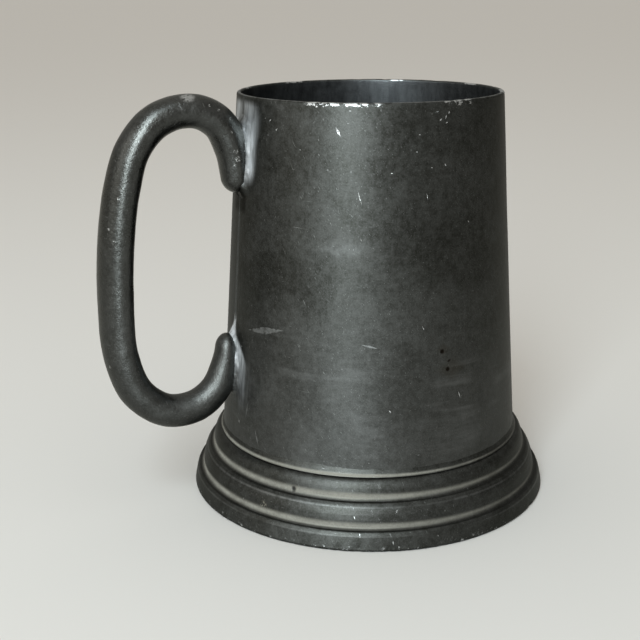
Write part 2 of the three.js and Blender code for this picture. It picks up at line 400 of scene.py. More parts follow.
def make_handle_solder(name, node, material, low, high, half_width, bare_end):
    """Solder drawn up into the corner between the drum and the handle, sunk into the drum at its edge.

    It covers the heights from low to high and half_width each way round the drum, and it is hollowed
    out at the height bare_end.
    """
    stations, thickness, width = handle_stations()
    rows, columns = SOLDER_ROWS, SOLDER_COLUMNS
    arc, z = np.meshgrid(np.linspace(-half_width, half_width, columns), np.linspace(low, high, rows))
    angle = arc / drum_radius(z)
    drum = beaten(drum_radius(z), z, angle)[0]
    on_drum = np.stack((-drum * np.cos(angle), -drum * np.sin(angle), z), -1)
    centre = np.stack((stations[:, 0], 0 * stations[:, 0], stations[:, 1]), -1)
    reach = (thickness + width) / 2
    gap = np.min(np.linalg.norm(on_drum[:, :, None] - centre, axis=-1) - reach, axis=-1)

    fillet = FILLET_HEIGHT * np.clip(1 - np.maximum(gap, 0) / FILLET_REACH, 0, 1) ** FILLET_CURVE
    middle, half_length = (low + high) / 2, (high - low) / 2
    inside = 1 - (arc / half_width) ** 2 - (np.abs(z - middle) / half_length) ** 3
    pool = step(inside, 0, 0.5)
    run = 1 + 0.10 * lumps(arc, 0, z, 2.5, 3) + 0.05 * lumps(arc, 0, z, 0.9, 4)
    hollow = 1 - bell(np.hypot(arc / 1.4, z - bare_end), 2.2)
    height = (fillet * hollow + SOLDER_SKIN) * pool * run - EDGE_SINK * (1 - pool)

    def shell(radius):
        return np.stack((-radius * np.cos(angle), -radius * np.sin(angle), z), -1).reshape(-1, 3)

    count = rows * columns
    top_faces = grid_faces(rows, columns, False, False)
    faces = top_faces + [tuple(count + i for i in reversed(face)) for face in top_faces]
    rim = list(range(columns)) + [i * columns + columns - 1 for i in range(1, rows)]
    rim += [(rows - 1) * columns + j for j in reversed(range(columns - 1))]
    rim += [i * columns for i in reversed(range(1, rows - 1))]
    faces += [(b, a, count + a, count + b) for a, b in zip(rim, rim[1:] + rim[:1])]
    points = np.vstack((shell(drum + height), shell(drum - ROOT_DEPTH)))
    piece(name, points, faces, material, "solder", node)


# ---- material helper ------------------------------------------------------------------------
# tints that keep the dark patina dark where it is seen at a glancing angle
EDGE_TINT = (0.62, 0.62, 0.60, 1)
HANDLE_EDGE_TINT = (0.85, 0.85, 0.82, 1)
DRUM_MARK_RADIUS = 42.0        # at which the lengths of the drum's marks are measured
FOOT_MARK_RADIUS = 54.0


class Finish:
    """A material being built; its methods add nodes, and most return the output that carries the result."""

    def __init__(self, name):
        self.material = bpy.data.materials.new(name)
        self.material.use_nodes = True
        self.tree = self.material.node_tree
        self.shader = self.tree.nodes["Principled BSDF"]
        self.shader.inputs["Specular Tint"].default_value = EDGE_TINT
        place = self.node("TexCoord", "Object")
        self.place = self.node("VectorMath", 0, {0: place, 3: 1 / MM}, operation="SCALE")
        self.x, self.y, self.z = self.node("SeparateXYZ", None, {0: self.place}).outputs
        squares = [self.math("POWER", side, 2) for side in (self.x, self.y)]
        self.radius = self.math("SQRT", self.math("ADD", *squares))
        turn = self.math("ARCTAN2", self.math("MULTIPLY", self.y, -1), self.math("MULTIPLY", self.x, -1))
        self.degrees = self.math("DEGREES", turn)

    def node(self, kind, output, inputs=None, **settings):
        made = self.tree.nodes.new("ShaderNode" + kind)
        for key, value in settings.items():
            setattr(made, key, value)
        for key, value in (inputs or {}).items():
            self.feed(made.inputs[key], value)
        return made if output is None else made.outputs[output]

    def feed(self, socket, value):
        if isinstance(value, bpy.types.NodeSocket):
            self.tree.links.new(value, socket)
        else:
            socket.default_value = value

    def set(self, **values):
        for key, value in values.items():
            self.feed(self.shader.inputs[key.replace("_", " ")], value)

    def math(self, operation, a, b=0.0, clamp=False):
        return self.node("Math", 0, {0: a, 1: b}, operation=operation, use_clamp=clamp)

    def scaled(self, value, share):
        return self.math("MULTIPLY", value, share)

    def ramp(self, value, low, high, bottom=0.0, top=1.0):
        """A smooth step from bottom at low to top at high."""
        inputs = {"Value": value, "From Min": low, "From Max": high, "To Min": bottom, "To Max": top}
        return self.node("MapRange", 0, inputs, interpolation_type="SMOOTHSTEP")

    def near(self, value, middle, reach, core):
        """1 within a core share of the reach round the middle, falling to 0 at the reach."""
        away = self.math("ABSOLUTE", self.math("SUBTRACT", value, middle))
        return self.ramp(away, reach, reach * core)

    def both(self, *masks):
        result = masks[0]
        for mask in masks[1:]:
            result = self.math("MULTIPLY", result, mask)
        return result

    def either(self, *masks):
        result = masks[0]
        for mask in masks[1:]:
            result = self.math("MAXIMUM", result, mask)
        return result

    def stretched(self, x, y, z):
        """The place with each direction stretched that many times."""
        return self.node("VectorMath", 0, {0: self.place, 1: (1 / x, 1 / y, 1 / z)}, operation="MULTIPLY")

    def noise(self, size, place=None, detail=3.0, roughness=0.5, distortion=0.0):
        """Noise from 0 to 1 with features of that size in mm."""
        inputs = {"Vector": place or self.place, "Scale": 1 / size, "Detail": detail,
                  "Roughness": roughness, "Distortion": distortion}
        return self.node("TexNoise", "Fac", inputs)

    def specks(self, spacing, size, share):
        """Small round spots on a loose grid, of which a share shows."""
        inputs = {"Vector": self.place, "Scale": 1 / spacing}
        cells = self.node("TexVoronoi", None, inputs)
        lottery = self.node("SeparateColor", 0, {0: cells.outputs["Color"]})
        spot = self.ramp(cells.outputs["Distance"], size / spacing, 0.4 * size / spacing)
        return self.both(spot, self.math("LESS_THAN", lottery, share))

    def mixed(self, factor, a, b):
        """A colour between a and b."""
        inputs = {"Factor": factor, 6: self.colour(a), 7: self.colour(b)}
        return self.node("Mix", 2, inputs, data_type="RGBA")

    def colour(self, value):
        return value if isinstance(value, bpy.types.NodeSocket) else (*value, 1.0)

    def between(self, factor, a, b):
        """A number between a and b."""
        return self.node("Mix", 0, {0: factor, 2: a, 3: b}, data_type="FLOAT")

    def relief(self, *layers):
        """A normal from layers of (value, height in mm)."""
        total = 0.0
        for value, height in layers:
            total = self.node("Math", 0, {0: value, 1: height, 2: total}, operation="MULTIPLY_ADD")
        return self.node("Bump", 0, {"Height": total, "Distance": MM, "Strength": 1.0})

    def stroke(self, degrees, height, length, width, tilt=0.0, around=DRUM_MARK_RADIUS):
        """A pointed mark: where its middle is, how long and wide it is, and how far it tilts."""
        s = self.math("MULTIPLY", self.math("SUBTRACT", self.degrees, degrees), math.radians(around))
        t = self.math("SUBTRACT", self.z, height)
        cos, sin = math.cos(math.radians(tilt)), math.sin(math.radians(tilt))
        u = self.math("ADD", self.math("MULTIPLY", s, cos), self.math("MULTIPLY", t, sin))
        v = self.math("SUBTRACT", self.math("MULTIPLY", t, cos), self.math("MULTIPLY", s, sin))
        along = self.math("DIVIDE", self.math("ABSOLUTE", u), length / 2)
        across = self.math("DIVIDE", self.math("ABSOLUTE", v), width / 2)
        return self.ramp(self.math("ADD", along, across), 1.0, 0.3)

    def strokes(self, places, around=DRUM_MARK_RADIUS):
        """All the pointed marks of a list."""
        return self.either(*[self.stroke(*place, around=around) for place in places])

    def spot(self, x, y, z, reach):
        """1 at a place given in mm, falling to 0 at the reach."""
        away = self.node("VectorMath", "Value", {0: self.place, 1: (x, y, z)}, operation="DISTANCE")
        return self.ramp(away, reach, 0.4 * reach)


# ---- finishes -------------------------------------------------------------------------------
BARE_ROUGHNESS = 0.34          # of metal rubbed or scratched bare
POLISHED_ROUGHNESS = 0.24
DEPOSIT_ROUGHNESS = 0.8
SOLDER_ROUGHNESS = 0.45
SOLDER_METAL = 0.55            # metal share of fresh solder, which is partly dull bloom
CHIP_TOP = 0.15                # below the rim, from where the lip's chips are measured down
SCRATCH_WIDTH = 0.22
SCRATCH_LENGTH = 9
# how each set of scratches is turned, in radians about X, Y and Z, and the noise above which one shows
SCRATCH_TURNS = [((0.5, 0.2, 1.0), 0.72), ((-0.9, 0.3, 1.3), 0.73), ((1.5, 0.7, 0.2), 0.74)]
SCRATCH_SHARE = 0.2            # how much of the bare metal the fine scratches show
SPECK_SHARE = 0.13
PATINA_DARK = (0.023, 0.0235, 0.0205)
PATINA_LIGHT = (0.054, 0.055, 0.051)
BARE_METAL = (0.50, 0.51, 0.50)
DULL_METAL = (0.20, 0.205, 0.20)
FRESH_SOLDER = (0.60, 0.625, 0.64)
DEPOSIT = (0.27, 0.26, 0.22)
# nearly black: painted shade in the foot's creases, painted shadow under the handle's upper tip, and the
# dark of the foot's pit
PAINTED_SHADE_AND_PIT_DARK = (0.008, 0.008, 0.007)
BROWN_STAIN = (0.030, 0.024, 0.014)
PIT_BROWN = (0.01, 0.008, 0.006)
BRUSHED_TONE = (0.10, 0.10, 0.095)
INSIDE_TONE = (0.070, 0.074, 0.075)
INSIDE_STREAK = (0.018, 0.019, 0.020)
INSIDE_DEEP = (0.26, 0.265, 0.26)
OLD_SOLDER_DARK = (0.034, 0.036, 0.034)
OLD_SOLDER_LIGHT = (0.075, 0.078, 0.075)

# strokes on the drum and the foot: degrees, height, length, width, tilt
BRIGHT_STROKES = [
    (53.5, 112.6, 3.3, 1.0, -58), (62, 95.6, 4.8, 0.5, -72), (62.6, 84.6, 1.6, 0.3, -60),
    (7.7, 26.0, 2.2, 0.6, -70), (94, 115.2, 1.4, 0.6, 40), (96.5, 115.9, 1.6, 0.55, 65),
    (92.3, 117.3, 0.9, 0.36, 0), (98, 117.0, 1.2, 0.5, 70), (96.8, 114.4, 1.1, 0.5, 20),
    (58, 118.0, 1.2, 0.30, 0), (22.2, 114.5, 1.3, 0.6, 30), (25.8, 112.1, 1.8, 0.6, 45),
    (19.1, 114.9, 0.9, 0.36, 0), (21.3, 110.5, 0.8, 0.30, 0), (96, 103.5, 1.4, 0.5, -60),
    (90, 103.0, 0.8, 0.36, 0), (85, 111.7, 0.8, 0.36, 0), (83.8, 107.3, 0.9, 0.30, 0),
    (74, 102.0, 0.9, 0.42, 0), (88, 95.5, 2.4, 0.35, -78), (86, 60.0, 1.6, 0.35, -70),
    (101, 39.5, 3.0, 0.4, -72), (73.5, 37.2, 1.4, 0.5, -60), (84, 24.0, 0.9, 0.42, 0),
    (37.8, 107.5, 0.8, 0.30, 0), (107, 87.5, 1.0, 0.4, -60),
]
DULL_STROKES = [
    (22.6, 56.3, 22, 2.9, 11), (66, 55.5, 7.0, 0.9, -14), (13.4, 31, 8.0, 0.8, 78), (20, 24, 7.0, 0.8, -70),
]
SMUDGES = [(17, 117.2, 9, 4, -4), (28, 118.0, 5, 2.6, 0), (56, 82, 26, 9, 4), (13.0, 40.5, 3.2, 12, 0)]
STAINS = [(94.2, 53.3, 6, 4.5), (98, 47.4, 14, 9)]
FOOT_STROKES = [
    (74.8, 10.4, 1.8, 0.8, 50), (63.5, 4.6, 1.6, 0.45, -80), (73.2, 2.7, 1.9, 0.5, -80),
    (74.9, 1.3, 1.7, 0.6, -85), (61.7, 8.9, 1.8, 0.35, -70), (22.0, 7.5, 1.2, 0.4, 60),
    (87.0, 3.2, 1.0, 0.4, -60), (-128, 9.0, 2.0, 0.5, 55), (150, 3.0, 2.2, 0.5, -75),
    (-70, 4.0, 1.6, 0.5, 80),
]
# degrees, radius and height of a pit and of two pale smears on the foot, and the smears' reach
FOOT_PIT = (40.4, 48.7, 13.9)
FOOT_SMEARS = [((30.8, 51.7, 8.0), 1.6), ((33.7, 51.8, 6.9), 1.1)]
# worn stretches of the lip: degrees of the middle, degrees to each side
LIP_WEAR = [
    (46, 8), (55, 9), (64, 7), (99, 3.5), (106, 4.5), (151, 9), (-170, 5), (-128, 4), (-75, 6), (-38, 4),
]

# bright knocks on the handle: x, y, z, reach
HANDLE_KNOCKS = [
    (-43, -5.9, 105.4, 0.9), (-42.4, -5.7, 103.2, 1.0), (-43.2, -5.4, 101.5, 0.6), (-44, -4.7, 114.3, 0.5),
    (-47.1, -4.6, 116.7, 0.6), (-49.7, -4.4, 118, 0.5), (-43.9, -5.8, 110.7, 0.5), (-76.1, -4.8, 94.4, 0.5),
    (-79.1, -4.0, 86.2, 0.5), (-78, -4.8, 82.7, 0.6), (-80.8, -2.6, 46.7, 0.6), (-46.2, -4.6, 47.8, 0.6),
]


def pewter_base(finish):
    """The patina's colour, roughness and relief, the same all over the tankard."""
    cloud = finish.noise(16, detail=4, roughness=0.55, distortion=0.6)
    mottle = finish.noise(1.8, detail=4, roughness=0.65)
    grain = finish.noise(0.45, detail=2, roughness=0.6)
    broad_tone = finish.ramp(cloud, 0.3, 0.7, -0.25, 0.25)
    tone = finish.math("ADD", broad_tone, finish.ramp(mottle, 0.25, 0.75, 0.2, 0.8))
    tone = finish.math("ADD", tone, finish.ramp(grain, 0.3, 0.7, -0.15, 0.15), clamp=True)
    colour = finish.mixed(tone, PATINA_DARK, PATINA_LIGHT)
    mottled_rough = finish.ramp(mottle, 0.3, 0.7, 0.42, 0.50)
    rough = finish.math("ADD", mottled_rough, finish.ramp(cloud, 0.3, 0.7, -0.03, 0.03))
    return colour, rough, mottle, grain


def scratches(finish):
    """Fine scratches in three directions."""
    lines = []
    drawing = (1 / SCRATCH_WIDTH, 1 / SCRATCH_WIDTH, 1 / SCRATCH_LENGTH)
    for turn, cut in SCRATCH_TURNS:
        inputs = {0: finish.place, "Rotation": turn}
        rotated = finish.node("VectorRotate", 0, inputs, rotation_type="EULER_XYZ")
        drawn = finish.node("VectorMath", 0, {0: rotated, 1: drawing}, operation="MULTIPLY")
        line = finish.node("TexNoise", "Fac", {"Vector": drawn, "Scale": 1.0, "Detail": 1.0})
        lines.append(finish.ramp(line, cut, cut + 0.06))
    return finish.either(*lines)


def joint_bloom(finish):
    """Masks beside the handle's ends: fresh solder, the rubbed metal round it, and a painted shadow in the
    gap under the upper tip.

    Each is bounded by angles from the handle, in degrees, and by heights.
    """
    side = finish.math("ABSOLUTE", finish.degrees)
    streaks = finish.noise(1.1, finish.stretched(1, 1, 7), detail=3)
    patchy = finish.ramp(streaks, 0.32, 0.6, 0.6, 1.0)

    above = finish.math("SUBTRACT", finish.z, 104)
    bend = finish.math("MULTIPLY", finish.math("MULTIPLY", above, above), -0.02)
    away = finish.math("ABSOLUTE", finish.math("SUBTRACT", side, finish.math("ADD", bend, 10.2)))
    upper = finish.both(
        finish.ramp(away, finish.ramp(finish.z, 105, 115, 4.4, 9.5), 0.4),
        finish.ramp(finish.z, 95, 101),
        finish.ramp(finish.z, 118, 106, 0.65, 1.0),
        finish.ramp(finish.z, 119.2, 117),
    )
    upper_rub = finish.both(
        finish.ramp(side, 15, 6),
        finish.ramp(finish.z, 104, 112),
        finish.ramp(finish.z, 119.6, 117),
    )

    edge = finish.ramp(finish.z, 56, 43, 0.4, 10.5)
    lower = finish.both(
        finish.ramp(side, finish.math("ADD", edge, 1.5), finish.math("SUBTRACT", edge, 0.6)),
        finish.either(finish.ramp(side, 5, 7.5), finish.ramp(finish.z, 39, 43)),
        finish.ramp(finish.z, 27, 52),
        finish.ramp(finish.z, 58, 55, 0.08, 1.0),
    )
    lower_rub = finish.both(
        finish.ramp(side, 17, 10),
        finish.ramp(finish.z, 29, 37),
        finish.ramp(finish.z, 49, 40),
    )

    # painted shadow: the gap under the handle's upper tip, darkened in colour
    gap = finish.both(finish.ramp(side, 7.5, 5.0), finish.near(finish.z, 91.6, 5.0, 0.6))
    solder = finish.both(finish.either(upper, lower), patchy)
    rub = finish.both(finish.either(upper_rub, lower_rub), finish.ramp(streaks, 0.35, 0.65, 0.3, 0.95))
    return solder, rub, gap


def bloomed(finish, colour, rough):
    """The colour, roughness and metal share with the handle joints' solder laid over, and the painted shadow
    under the upper tip.
    """
    solder, rub, gap = joint_bloom(finish)
    colour = finish.mixed(rub, colour, DULL_METAL)
    colour = finish.mixed(solder, colour, FRESH_SOLDER)
    # paints the shadow under the handle's upper tip
    colour = finish.mixed(gap, colour, PAINTED_SHADE_AND_PIT_DARK)
    rough = finish.between(solder, rough, SOLDER_ROUGHNESS)
    return colour, rough, finish.between(solder, 1.0, SOLDER_METAL)


def wiped_smudged_painted_reflection(finish, colour):
    """Brush lines down the drum, wipe marks, a paler tone round its lower part that is a painted reflection
    of the lit floor, and soft smudges.
    """
    brushed = finish.noise(0.7, finish.stretched(1, 1, 18), detail=3)
    colour = finish.mixed(finish.ramp(brushed, 0.45, 0.75, 0, 0.08), colour, BRUSHED_TONE)
    wipe = finish.noise(3.4, finish.stretched(8, 8, 1), detail=3, roughness=0.6, distortion=0.3)
    low_zone = finish.both(
        finish.ramp(finish.z, 66, 44),
        finish.ramp(finish.z, 19, 26),
        finish.ramp(finish.noise(14, detail=1), 0.4, 0.6),
    )
    wiped = finish.both(finish.ramp(wipe, 0.45, 0.7), low_zone)
    colour = finish.mixed(finish.scaled(wiped, 0.20), colour, DULL_METAL)
    # painted reflection: the drum paler towards the bottom, where the lit floor shows in it
    colour = finish.mixed(finish.ramp(finish.z, 75, 25, 0, 0.13), colour, DULL_METAL)
    cloudy = finish.ramp(finish.noise(2.5, detail=4), 0.35, 0.65, 0.2, 1)
    smudge = finish.both(finish.strokes(SMUDGES), cloudy)
    return finish.mixed(finish.scaled(smudge, 0.14), colour, DULL_METAL)


def lip_wear(finish, chips, mottle):
    """Masks of the chips along the lip's outer edge and of the thin rubbed line on top of it."""
    zones = finish.either(*[finish.near(finish.degrees, *place, 0.6) for place in LIP_WEAR])
    depth = finish.ramp(chips, 0.35, 0.7, -0.2, 1.25)
    below = finish.math("SUBTRACT", RIM_HEIGHT - CHIP_TOP, finish.z)
    chipped = finish.both(zones, finish.math("LESS_THAN", below, depth), finish.ramp(chips, 0.36, 0.46))
    on_top = finish.ramp(finish.z, RIM_HEIGHT - 0.2, RIM_HEIGHT - 0.04)
    return chipped, finish.both(on_top, finish.ramp(mottle, 0.3, 0.6, 0.05, 0.3))


def lined(finish, colour):
    """The colour with the streaky dark inside of the drum laid over, which is paler low down."""
    middle_of_wall = finish.node(
        "Math", 0, {0: finish.z, 1: -DRUM_TAPER, 2: drum_radius(0) - DRUM_WALL / 2}, operation="MULTIPLY_ADD"
    )
    inside = finish.both(
        finish.math("LESS_THAN", finish.radius, middle_of_wall),
        finish.ramp(finish.z, RIM_HEIGHT - 0.2, RIM_HEIGHT - 0.6),
    )
    streaky = finish.noise(2.6, finish.stretched(1, 1, 4), detail=4, roughness=0.65)
    lining = finish.mixed(finish.ramp(streaky, 0.35, 0.7, 0, 0.5), INSIDE_TONE, INSIDE_STREAK)
    lining = finish.mixed(finish.ramp(finish.z, 108, 70, 0, 0.9), lining, INSIDE_DEEP)
    return finish.mixed(inside, colour, lining)


def drum_finish():
    """Patina with wipe marks, solder bloom, a worn lip, marks and stains outside, and a dark lining."""
    finish = Finish("patinated_drum")
    colour, rough, mottle, grain = pewter_base(finish)
    colour = wiped_smudged_painted_reflection(finish, colour)
    colour, rough, metal = bloomed(finish, colour, rough)

    chips = finish.noise(1.0, finish.stretched(1.6, 1.6, 1), detail=4, roughness=0.7)
    chipped, edge = lip_wear(finish, chips, mottle)
    dull = finish.both(finish.strokes(DULL_STROKES), finish.ramp(chips, 0.3, 0.7, 0.4, 1.6))
    dull = finish.both(finish.ramp(dull, 0.25, 0.6), finish.ramp(chips, 0.3, 0.6, 0.4))
    colour = finish.mixed(finish.scaled(dull, 0.7), colour, DULL_METAL)
    scratch = finish.scaled(scratches(finish), SCRATCH_SHARE)
    specks = finish.scaled(finish.specks(6.5, 0.36, 0.14), SPECK_SHARE)
    broken = finish.ramp(finish.noise(0.35, detail=3), 0.34, 0.5)
    strokes = finish.both(finish.strokes(BRIGHT_STROKES), broken)
    bright = finish.either(finish.scaled(chipped, 0.85), strokes, scratch, specks, edge)
    colour = finish.mixed(bright, colour, BARE_METAL)

    stained = finish.strokes(STAINS)
    pitted = finish.both(finish.specks(2.2, 0.9, 0.35), finish.ramp(stained, 0.1, 0.4))
    colour = finish.mixed(finish.scaled(stained, 0.3), colour, BROWN_STAIN)
    colour = finish.mixed(pitted, colour, PIT_BROWN)
    colour = lined(finish, colour)

    rough = finish.between(bright, rough, BARE_ROUGHNESS)
    cuts = ((scratch, -0.02), (strokes, -0.05), (pitted, -0.08))
    normal = finish.relief((mottle, 0.03), (grain, 0.012), *cuts)
    finish.set(Base_Color=colour, Metallic=metal, Roughness=rough, Normal=normal)
    return finish.material


def foot_finish(name, grooves, spread, crease_shade_share):
    """Patina with pale polish dried in the corners above each step, drawn paler and wider as painted
    light on the side that faces the light; painted shade in the crease under each corner; and worn
    shoulders whose bare colour is partly a painted highlight.

    The spread says how far the polish reaches out of a corner, against its usual reach, and the
    crease shade's share how dark the painted shade in the crease is.
    """
    finish = Finish(name)
    colour, rough, mottle, grain = pewter_base(finish)
    ragged = finish.noise(3.5, finish.stretched(2, 2, 1), detail=3, roughness=0.6)
    crumbs = finish.noise(0.7, detail=3, roughness=0.6)
    # painted light: the polish is drawn paler and wider where the foot faces the light, round 20 degrees
    facing_light = finish.math("COSINE", finish.math("RADIANS", finish.math("SUBTRACT", finish.degrees, 20)))
    plenty = finish.both(finish.ramp(facing_light, -0.5, 1.0, 0.35, 1.0), finish.ramp(ragged, 0.3, 0.7, 0.7, 1.0))
    reach = finish.ramp(facing_light, -0.5, 1.0, 0.9 * spread, 1.6 * spread)
    pale, dark, rubbed = [], [], []
    for radius, height in grooves:
        pale.append(finish.ramp(distance_in_section(finish, radius - 0.15, height + 0.6), reach, 0))
        # painted shade: a dark line along each crease, in colour
        crease_line = distance_in_section(finish, radius + CREASE_OUT, height - CREASE_UNDER)
        dark.append(finish.ramp(crease_line, 0.75, 0.3))
        # the worn shoulder just outside each crease: polished by wear, and its bare colour partly a painted
        # highlight
        rubbed.append(finish.ramp(distance_in_section(finish, radius + 2.3, height - 1.5), 0.75, 0.1))
    crease = finish.scaled(finish.either(*dark), crease_shade_share)
    rubbed = finish.both(finish.either(*rubbed), finish.ramp(mottle, 0.3, 0.6, 0.5, 1.0))
    soft = finish.math("POWER", finish.either(*pale), 1.5)
    deposit = finish.both(soft, plenty, finish.ramp(crumbs, 0.3, 0.6, 0.8, 1.0))

    pit = finish.spot(*on_foot(*FOOT_PIT), 1.0)
    smears = finish.either(*[finish.spot(*on_foot(*place), reach) for place, reach in FOOT_SMEARS])
    smears = finish.both(smears, finish.ramp(finish.noise(0.6, detail=3), 0.42, 0.6))
    broken = finish.ramp(finish.noise(0.35, detail=3), 0.42, 0.56, 0, 0.8)
    chips = finish.both(finish.strokes(FOOT_STROKES, FOOT_MARK_RADIUS), broken)
    scratch = finish.scaled(scratches(finish), SCRATCH_SHARE)
    specks = finish.scaled(finish.specks(5.5, 0.36, 0.14), SPECK_SHARE)
    worn = finish.noise(1.1, detail=4, roughness=0.7)
    edge = finish.both(finish.ramp(finish.radius, 54.2, 54.7), finish.ramp(worn, 0.6, 0.66))
    bright = finish.either(scratch, specks, edge, chips)
    # partly a painted highlight: the shoulders' bare colour
    colour = finish.mixed(finish.scaled(rubbed, 0.5), colour, BARE_METAL)
    colour = finish.mixed(bright, colour, BARE_METAL)
    # paints the shade in the creases
    colour = finish.mixed(crease, colour, PAINTED_SHADE_AND_PIT_DARK)
    colour = finish.mixed(finish.either(deposit, finish.scaled(smears, 0.6)), colour, DEPOSIT)
    colour = finish.mixed(pit, colour, PAINTED_SHADE_AND_PIT_DARK)
    metal = finish.math("SUBTRACT", 1.0, deposit, clamp=True)
    rough = finish.between(rubbed, rough, POLISHED_ROUGHNESS)
    rough = finish.between(bright, rough, BARE_ROUGHNESS)
    rough = finish.between(deposit, rough, DEPOSIT_ROUGHNESS)
    normal = finish.relief((mottle, 0.03), (grain, 0.012), (scratch, -0.02), (deposit, 0.03), (pit, -0.2))
    finish.set(Base_Color=colour, Metallic=metal, Roughness=rough, Normal=normal)
    return finish.material


def distance_in_section(finish, radius, height):
    """Distance from a circle round the axis, in mm."""
    out = finish.math("POWER", finish.math("SUBTRACT", finish.radius, radius), 2)
    up = finish.math("POWER", finish.math("SUBTRACT", finish.z, height), 2)
    return finish.math("SQRT", finish.math("ADD", out, up))


def on_foot(degrees, radius, height):
    """A place given by its angle, radius and height, in mm."""
    return -radius * math.cos(math.radians(degrees)), -radius * math.sin(math.radians(degrees)), height


def base_finish():
    finish = Finish("patinated_base")
    colour, rough, mottle, _ = pewter_base(finish)
    rings = finish.noise(0.8, finish.node("CombineXYZ", 0, {0: finish.radius}), detail=2)
    colour = finish.mixed(finish.ramp(rings, 0.45, 0.7, 0.7, 0.9), colour, INSIDE_DEEP)
    normal = finish.relief((mottle, 0.03), (rings, 0.02))
    finish.set(Base_Color=colour, Metallic=1.0, Roughness=rough, Normal=normal)
    return finish.material


# The grip's shading is tipped outward by a bump that sinks with the square of the distance past a start.
GRIP_LEAN = 0.014              # how far it has sunk 1 mm past that start
GRIP_START = -63               # the x of the start


def handle_finish():
    """Patina on a finely hammered casting, smoother up the grip, with knocks and a worn top."""
    finish = Finish("cast_handle_pewter")
    colour, rough, mottle, grain = pewter_base(finish)
    hammer = finish.noise(0.9, detail=3, roughness=0.6)
    rubbed = finish.noise(0.8, detail=4, roughness=0.7)
    worn_top = finish.both(finish.spot(-55.2, -2.4, 120.4, 2.6), finish.ramp(rubbed, 0.4, 0.52))
    knocks = finish.either(*[finish.spot(*place) for place in HANDLE_KNOCKS])
    knocks = finish.both(knocks, finish.ramp(finish.noise(0.3, detail=3), 0.5, 0.6))
    scratch = finish.scaled(scratches(finish), 0.25)
    specks = finish.scaled(finish.specks(4.5, 0.35, 0.14), 0.35)
    bright = finish.either(finish.scaled(worn_top, 0.6), knocks, scratch, specks)
    colour = finish.mixed(0.11, colour, DULL_METAL)
    colour = finish.mixed(bright, colour, BARE_METAL)
    rough = finish.math("ADD", rough, finish.ramp(finish.z, 75, 40, -0.16, -0.04))
    rough = finish.between(bright, rough, BARE_ROUGHNESS)
    beyond = finish.math("MAXIMUM", finish.math("SUBTRACT", GRIP_START, finish.x), 0)
    lean = finish.math("MULTIPLY", beyond, beyond)
    cast = ((hammer, 0.08), (mottle, 0.03), (grain, 0.025), (scratch, -0.02))
    normal = finish.relief((lean, -GRIP_LEAN), *cast)
    finish.set(Base_Color=colour, Metallic=1.0, Roughness=rough, Normal=normal)
    finish.set(Specular_Tint=HANDLE_EDGE_TINT)
    return finish.material


def joint_finish():
    """Solder beside the handle: fresh where the bloom is, patinated elsewhere, like the drum."""
    finish = Finish("joint_solder")
    colour, rough, mottle, grain = pewter_base(finish)
    colour, rough, metal = bloomed(finish, colour, rough)
    beads = finish.scaled(finish.specks(1.6, 0.4, 0.12), 0.7)
    colour = finish.mixed(beads, colour, BARE_METAL)
    normal = finish.relief((mottle, 0.05), (grain, 0.02))
    finish.set(Base_Color=colour, Metallic=metal, Roughness=rough, Normal=normal)
    return finish.material


def solder_finish():
    """Solder gone dull and streaky with age."""
    finish = Finish("dull_solder")
    cloud = finish.noise(2.4, finish.stretched(1, 1, 3), detail=4, roughness=0.6)
    grain = finish.noise(0.5, detail=3)
    colour = finish.mixed(finish.ramp(cloud, 0.35, 0.65), OLD_SOLDER_DARK, OLD_SOLDER_LIGHT)
    rough = finish.ramp(grain, 0.3, 0.7, 0.40, 0.52)
    normal = finish.relief((cloud, 0.06), (grain, 0.02))
    finish.set(Base_Color=colour, Metallic=1.0, Roughness=rough, Normal=normal)
    return finish.material


# ---- pieces ---------------------------------------------------------------------------------
dull_solder = solder_finish()
joint_solder = joint_finish()
make_drum(drum_finish())
make_seam(dull_solder)
make_base(base_finish(), dull_solder)
foot_pewter = foot_finish("patinated_foot", FOOT_GROOVES, spread=1.0, crease_shade_share=0.4)
ring_pewter = foot_finish("patinated_ring", [RING_GROOVE], spread=0.55, crease_shade_share=0.0)
make_foot(foot_pewter, ring_pewter)
make_handle(handle_finish())
upper = {"low": 90.5, "high": 115.5, "half_width": 10.5, "bare_end": 91.5}
lower = {"low": 32, "high": 57, "half_width": 8.5, "bare_end": 90.0}
make_handle_solder("upper_joint_solder", "upper_handle_solder", joint_solder, **upper)
make_handle_solder("lower_joint_solder", "lower_handle_solder", joint_solder, **lower)


# ---- floor, light and camera ----------------------------------------------------------------
FLOOR_SIZE = 30.0              # m from its middle to each side
FLOOR_COLOUR = (0.70, 0.68, 0.64, 1)
SKY_COLOUR = (0.86, 0.84, 0.80, 1)
HORIZON_GLOW = 0.50
OVERHEAD_GLOW = 1.05
RIGHT_SHADE = 0.55             # how much of the sky's glow is left towards +X
AIM_HEIGHT = 0.06              # m, of the tankard's middle, at which every softbox is aimed

VIEW_AZIMUTH = -24.5           # from which the picture is taken
CAMERA_DISTANCE = 328.85       # mm from the drum's axis
CAMERA_HEIGHT = 149.3
CAMERA_TURN = -21.91           # of the line of sight, about Z
CAMERA_DIP = 16.77
CAMERA_ROLL = -0.33
LENS = 62.66                   # mm, on a sensor of 36 mm
SENSOR = 36

# softboxes: name, degrees from the view's azimuth, elevation, distance, width and height in m, radiance,
# colour, and whether it lights matt surfaces or only shows as a reflection
SOFTBOXES = [
    ("window", -16, 32, 1.1, 0.30, 1.1, 10, (0.80, 0.92, 1.0), True),
    ("gleam", -17, 19, 1.1, 0.38, 1.0, 13, (0.86, 0.95, 1.0), False),
    ("screen", -10, 18, 1.5, 1.7, 1.0, 0.9, (1.0, 0.98, 0.95), False),
    ("left_wall", -60, 12, 1.6, 1.1, 1.0, 1.5, (1.0, 0.98, 0.94), False),
]


